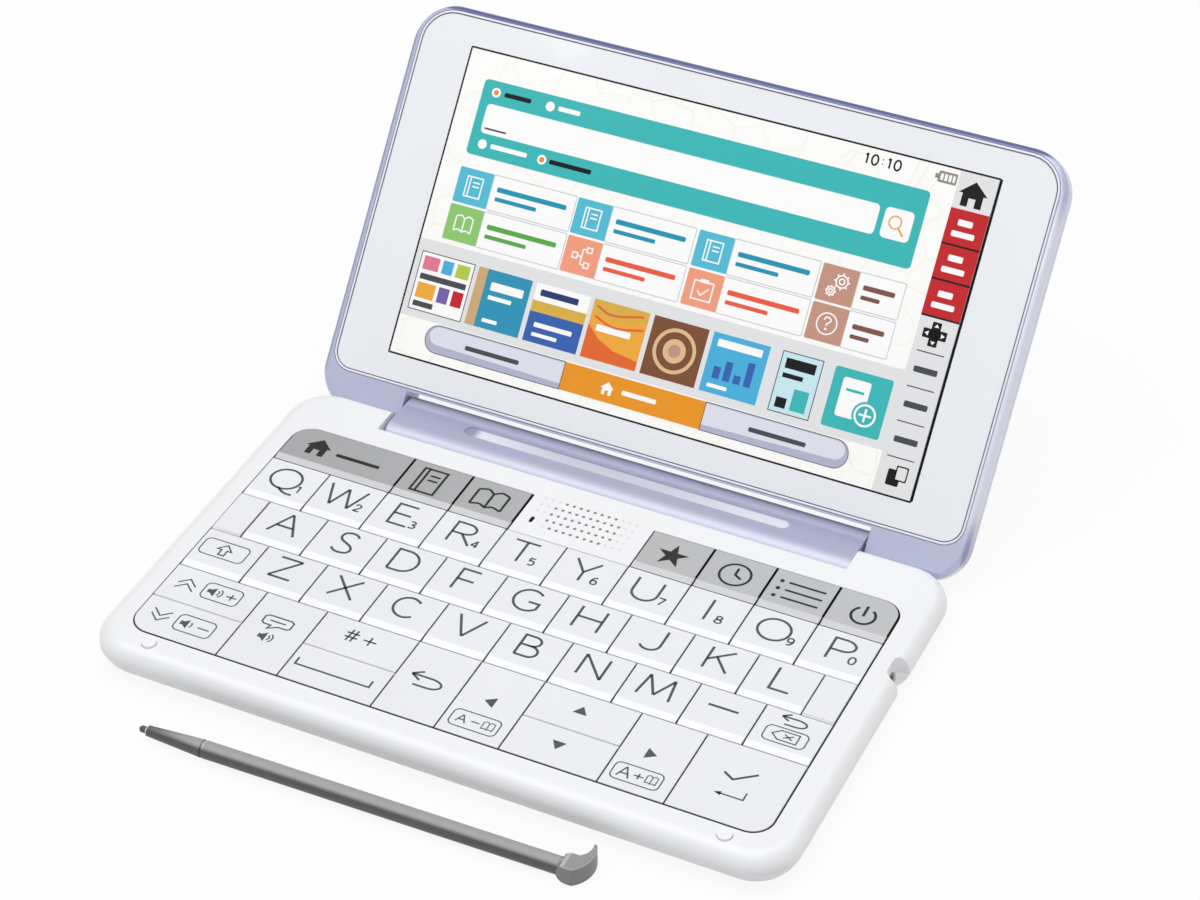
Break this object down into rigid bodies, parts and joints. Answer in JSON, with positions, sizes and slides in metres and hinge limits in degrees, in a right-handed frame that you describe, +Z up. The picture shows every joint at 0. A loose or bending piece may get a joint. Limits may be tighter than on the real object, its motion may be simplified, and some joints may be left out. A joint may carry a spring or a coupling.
{
  "type": "electronic dictionary",
  "caption": "pocket electronic dictionary with a letter keyboard, a touch display in a lid on a two-axis spine hinge, and a loose stylus with its holder",
  "frame": {"origin": "on the table under the middle of the case, at the middle of its flat underside", "axes": "+X to the user's right along the keyboard, +Y from the front edge to the hinge, +Z up; the lid stands open at its rest pose"},
  "size_m": [0.1526, 0.1679, 0.0752],
  "materials": {
    "case_white": "moulded white plastic, satin gloss",
    "key_white": "moulded pale bluish white key caps, fine satin",
    "key_silver": "silver-grey painted key caps, satin",
    "keypad_rubber": "dark silicone rubber sheet",
    "board_green": "glass-fibre laminate with solder mask",
    "battery_foil": "laminated aluminium pouch",
    "speaker_steel": "pressed steel speaker frame",
    "holder_grey": "moulded grey plastic",
    "screw_steel": "zinc plated steel",
    "foot_rubber": "pale elastomer pads",
    "lid_lavender": "pearl lavender paint over moulding",
    "hinge_steel": "ground steel pins and barrels",
    "display_glass": "cover glass with pale printed border",
    "display_steel": "display panel with backlight",
    "stylus_grey": "moulded dark grey plastic, satin"
  },
  "bodies": {
    "base": {"upper_case": "case_white", "lower_case": "case_white", "keypad_sheet": "keypad_rubber", "circuit_board": "board_green", "battery_pack": "battery_foil", "speaker": "speaker_steel", "stylus_holder": "holder_grey", "case_screws": "screw_steel", "rubber_feet": "foot_rubber"},
    "spine": {"spine_cover": "lid_lavender", "hinge_units": "hinge_steel"},
    "lid": {"lid_cover": "lid_lavender", "lid_frame": "lid_lavender", "display_glass": "display_glass", "display_module": "display_steel"},
    "stylus": {"stylus": "stylus_grey"},
    "home_key": {"home_key": "key_silver"},
    "native_key": {"native_key": "key_silver"},
    "foreign_key": {"foreign_key": "key_silver"},
    "my_books_key": {"my_books_key": "key_silver"},
    "history_key": {"history_key": "key_silver"},
    "contents_key": {"contents_key": "key_silver"},
    "power_key": {"power_key": "key_silver"},
    "key_q": {"key_q": "key_white"},
    "key_w": {"key_w": "key_white"},
    "key_e": {"key_e": "key_white"},
    "key_r": {"key_r": "key_white"},
    "key_t": {"key_t": "key_white"},
    "key_y": {"key_y": "key_white"},
    "key_u": {"key_u": "key_white"},
    "key_i": {"key_i": "key_white"},
    "key_o": {"key_o": "key_white"},
    "key_p": {"key_p": "key_white"},
    "key_a": {"key_a": "key_white"},
    "key_s": {"key_s": "key_white"},
    "key_d": {"key_d": "key_white"},
    "key_f": {"key_f": "key_white"},
    "key_g": {"key_g": "key_white"},
    "key_h": {"key_h": "key_white"},
    "key_j": {"key_j": "key_white"},
    "key_k": {"key_k": "key_white"},
    "key_l": {"key_l": "key_white"},
    "key_z": {"key_z": "key_white"},
    "key_x": {"key_x": "key_white"},
    "key_c": {"key_c": "key_white"},
    "key_v": {"key_v": "key_white"},
    "key_b": {"key_b": "key_white"},
    "key_n": {"key_n": "key_white"},
    "key_m": {"key_m": "key_white"},
    "shift_key": {"shift_key": "key_white"},
    "dash_key": {"dash_key": "key_white"},
    "delete_key": {"delete_key": "key_white"},
    "voice_key": {"voice_key": "key_white"},
    "back_key": {"back_key": "key_white"},
    "left_key": {"left_key": "key_white"},
    "right_key": {"right_key": "key_white"},
    "enter_key": {"enter_key": "key_white"},
    "page_rocker": {"page_rocker": "key_white"},
    "symbol_space_rocker": {"symbol_space_rocker": "key_white"},
    "cursor_rocker": {"cursor_rocker": "key_white"}
  },
  "joints": [
    {"name": "spine_hinge", "type": "hinge", "parent": "base", "child": "spine", "pos_m": [0, 0.0426, 0.0053], "axis": [1, 0, 0], "range_deg": [-90, 90]},
    {"name": "lid_hinge", "type": "hinge", "parent": "spine", "child": "lid", "pos_m": [0, 0.0517, 0.0053], "axis": [1, 0, 0], "range_deg": [-140.9, 39.1]},
    {"name": "stylus_lift", "type": "slide", "parent": "base", "child": "stylus", "axis": [0, 0, 1], "range_m": [0, 0.05]},
    {"name": "home_key_press", "type": "slide", "parent": "base", "child": "home_key", "axis": [0, 0, -1], "range_m": [0, 0.0005], "stiffness_N_per_m": 1200, "springref_m": -0.0002},
    {"name": "native_key_press", "type": "slide", "parent": "base", "child": "native_key", "axis": [0, 0, -1], "range_m": [0, 0.0005], "stiffness_N_per_m": 1200, "springref_m": -0.0002},
    {"name": "foreign_key_press", "type": "slide", "parent": "base", "child": "foreign_key", "axis": [0, 0, -1], "range_m": [0, 0.0005], "stiffness_N_per_m": 1200, "springref_m": -0.0002},
    {"name": "my_books_key_press", "type": "slide", "parent": "base", "child": "my_books_key", "axis": [0, 0, -1], "range_m": [0, 0.0005], "stiffness_N_per_m": 1200, "springref_m": -0.0002},
    {"name": "history_key_press", "type": "slide", "parent": "base", "child": "history_key", "axis": [0, 0, -1], "range_m": [0, 0.0005], "stiffness_N_per_m": 1200, "springref_m": -0.0002},
    {"name": "contents_key_press", "type": "slide", "parent": "base", "child": "contents_key", "axis": [0, 0, -1], "range_m": [0, 0.0005], "stiffness_N_per_m": 1200, "springref_m": -0.0002},
    {"name": "power_key_press", "type": "slide", "parent": "base", "child": "power_key", "axis": [0, 0, -1], "range_m": [0, 0.0005], "stiffness_N_per_m": 1200, "springref_m": -0.0002},
    {"name": "key_q_press", "type": "slide", "parent": "base", "child": "key_q", "axis": [0, 0, -1], "range_m": [0, 0.0005], "stiffness_N_per_m": 1200, "springref_m": -0.0002},
    {"name": "key_w_press", "type": "slide", "parent": "base", "child": "key_w", "axis": [0, 0, -1], "range_m": [0, 0.0005], "stiffness_N_per_m": 1200, "springref_m": -0.0002},
    {"name": "key_e_press", "type": "slide", "parent": "base", "child": "key_e", "axis": [0, 0, -1], "range_m": [0, 0.0005], "stiffness_N_per_m": 1200, "springref_m": -0.0002},
    {"name": "key_r_press", "type": "slide", "parent": "base", "child": "key_r", "axis": [0, 0, -1], "range_m": [0, 0.0005], "stiffness_N_per_m": 1200, "springref_m": -0.0002},
    {"name": "key_t_press", "type": "slide", "parent": "base", "child": "key_t", "axis": [0, 0, -1], "range_m": [0, 0.0005], "stiffness_N_per_m": 1200, "springref_m": -0.0002},
    {"name": "key_y_press", "type": "slide", "parent": "base", "child": "key_y", "axis": [0, 0, -1], "range_m": [0, 0.0005], "stiffness_N_per_m": 1200, "springref_m": -0.0002},
    {"name": "key_u_press", "type": "slide", "parent": "base", "child": "key_u", "axis": [0, 0, -1], "range_m": [0, 0.0005], "stiffness_N_per_m": 1200, "springref_m": -0.0002},
    {"name": "key_i_press", "type": "slide", "parent": "base", "child": "key_i", "axis": [0, 0, -1], "range_m": [0, 0.0005], "stiffness_N_per_m": 1200, "springref_m": -0.0002},
    {"name": "key_o_press", "type": "slide", "parent": "base", "child": "key_o", "axis": [0, 0, -1], "range_m": [0, 0.0005], "stiffness_N_per_m": 1200, "springref_m": -0.0002},
    {"name": "key_p_press", "type": "slide", "parent": "base", "child": "key_p", "axis": [0, 0, -1], "range_m": [0, 0.0005], "stiffness_N_per_m": 1200, "springref_m": -0.0002},
    {"name": "key_a_press", "type": "slide", "parent": "base", "child": "key_a", "axis": [0, 0, -1], "range_m": [0, 0.0005], "stiffness_N_per_m": 1200, "springref_m": -0.0002},
    {"name": "key_s_press", "type": "slide", "parent": "base", "child": "key_s", "axis": [0, 0, -1], "range_m": [0, 0.0005], "stiffness_N_per_m": 1200, "springref_m": -0.0002},
    {"name": "key_d_press", "type": "slide", "parent": "base", "child": "key_d", "axis": [0, 0, -1], "range_m": [0, 0.0005], "stiffness_N_per_m": 1200, "springref_m": -0.0002},
    {"name": "key_f_press", "type": "slide", "parent": "base", "child": "key_f", "axis": [0, 0, -1], "range_m": [0, 0.0005], "stiffness_N_per_m": 1200, "springref_m": -0.0002},
    {"name": "key_g_press", "type": "slide", "parent": "base", "child": "key_g", "axis": [0, 0, -1], "range_m": [0, 0.0005], "stiffness_N_per_m": 1200, "springref_m": -0.0002},
    {"name": "key_h_press", "type": "slide", "parent": "base", "child": "key_h", "axis": [0, 0, -1], "range_m": [0, 0.0005], "stiffness_N_per_m": 1200, "springref_m": -0.0002},
    {"name": "key_j_press", "type": "slide", "parent": "base", "child": "key_j", "axis": [0, 0, -1], "range_m": [0, 0.0005], "stiffness_N_per_m": 1200, "springref_m": -0.0002},
    {"name": "key_k_press", "type": "slide", "parent": "base", "child": "key_k", "axis": [0, 0, -1], "range_m": [0, 0.0005], "stiffness_N_per_m": 1200, "springref_m": -0.0002},
    {"name": "key_l_press", "type": "slide", "parent": "base", "child": "key_l", "axis": [0, 0, -1], "range_m": [0, 0.0005], "stiffness_N_per_m": 1200, "springref_m": -0.0002},
    {"name": "key_z_press", "type": "slide", "parent": "base", "child": "key_z", "axis": [0, 0, -1], "range_m": [0, 0.0005], "stiffness_N_per_m": 1200, "springref_m": -0.0002},
    {"name": "key_x_press", "type": "slide", "parent": "base", "child": "key_x", "axis": [0, 0, -1], "range_m": [0, 0.0005], "stiffness_N_per_m": 1200, "springref_m": -0.0002},
    {"name": "key_c_press", "type": "slide", "parent": "base", "child": "key_c", "axis": [0, 0, -1], "range_m": [0, 0.0005], "stiffness_N_per_m": 1200, "springref_m": -0.0002},
    {"name": "key_v_press", "type": "slide", "parent": "base", "child": "key_v", "axis": [0, 0, -1], "range_m": [0, 0.0005], "stiffness_N_per_m": 1200, "springref_m": -0.0002},
    {"name": "key_b_press", "type": "slide", "parent": "base", "child": "key_b", "axis": [0, 0, -1], "range_m": [0, 0.0005], "stiffness_N_per_m": 1200, "springref_m": -0.0002},
    {"name": "key_n_press", "type": "slide", "parent": "base", "child": "key_n", "axis": [0, 0, -1], "range_m": [0, 0.0005], "stiffness_N_per_m": 1200, "springref_m": -0.0002},
    {"name": "key_m_press", "type": "slide", "parent": "base", "child": "key_m", "axis": [0, 0, -1], "range_m": [0, 0.0005], "stiffness_N_per_m": 1200, "springref_m": -0.0002},
    {"name": "shift_key_press", "type": "slide", "parent": "base", "child": "shift_key", "axis": [0, 0, -1], "range_m": [0, 0.0005], "stiffness_N_per_m": 1200, "springref_m": -0.0002},
    {"name": "dash_key_press", "type": "slide", "parent": "base", "child": "dash_key", "axis": [0, 0, -1], "range_m": [0, 0.0005], "stiffness_N_per_m": 1200, "springref_m": -0.0002},
    {"name": "delete_key_press", "type": "slide", "parent": "base", "child": "delete_key", "axis": [0, 0, -1], "range_m": [0, 0.0005], "stiffness_N_per_m": 1200, "springref_m": -0.0002},
    {"name": "voice_key_press", "type": "slide", "parent": "base", "child": "voice_key", "axis": [0, 0, -1], "range_m": [0, 0.0005], "stiffness_N_per_m": 1200, "springref_m": -0.0002},
    {"name": "back_key_press", "type": "slide", "parent": "base", "child": "back_key", "axis": [0, 0, -1], "range_m": [0, 0.0005], "stiffness_N_per_m": 1200, "springref_m": -0.0002},
    {"name": "left_key_press", "type": "slide", "parent": "base", "child": "left_key", "axis": [0, 0, -1], "range_m": [0, 0.0005], "stiffness_N_per_m": 1200, "springref_m": -0.0002},
    {"name": "right_key_press", "type": "slide", "parent": "base", "child": "right_key", "axis": [0, 0, -1], "range_m": [0, 0.0005], "stiffness_N_per_m": 1200, "springref_m": -0.0002},
    {"name": "enter_key_press", "type": "slide", "parent": "base", "child": "enter_key", "axis": [0, 0, -1], "range_m": [0, 0.0005], "stiffness_N_per_m": 1200, "springref_m": -0.0002},
    {"name": "page_rocker_tilt", "type": "hinge", "parent": "base", "child": "page_rocker", "pos_m": [-0.05937, -0.02925, 0.00855], "axis": [1, 0, 0], "range_deg": [-2.2, 2.2], "stiffness_Nm_per_rad": 0.6},
    {"name": "symbol_space_rocker_tilt", "type": "hinge", "parent": "base", "child": "symbol_space_rocker", "pos_m": [-0.02445, -0.02925, 0.00855], "axis": [1, 0, 0], "range_deg": [-2.2, 2.2], "stiffness_Nm_per_rad": 0.6},
    {"name": "cursor_rocker_tilt", "type": "hinge", "parent": "base", "child": "cursor_rocker", "pos_m": [0.02445, -0.02925, 0.00855], "axis": [1, 0, 0], "range_deg": [-2.2, 2.2], "stiffness_Nm_per_rad": 0.6}
  ]
}
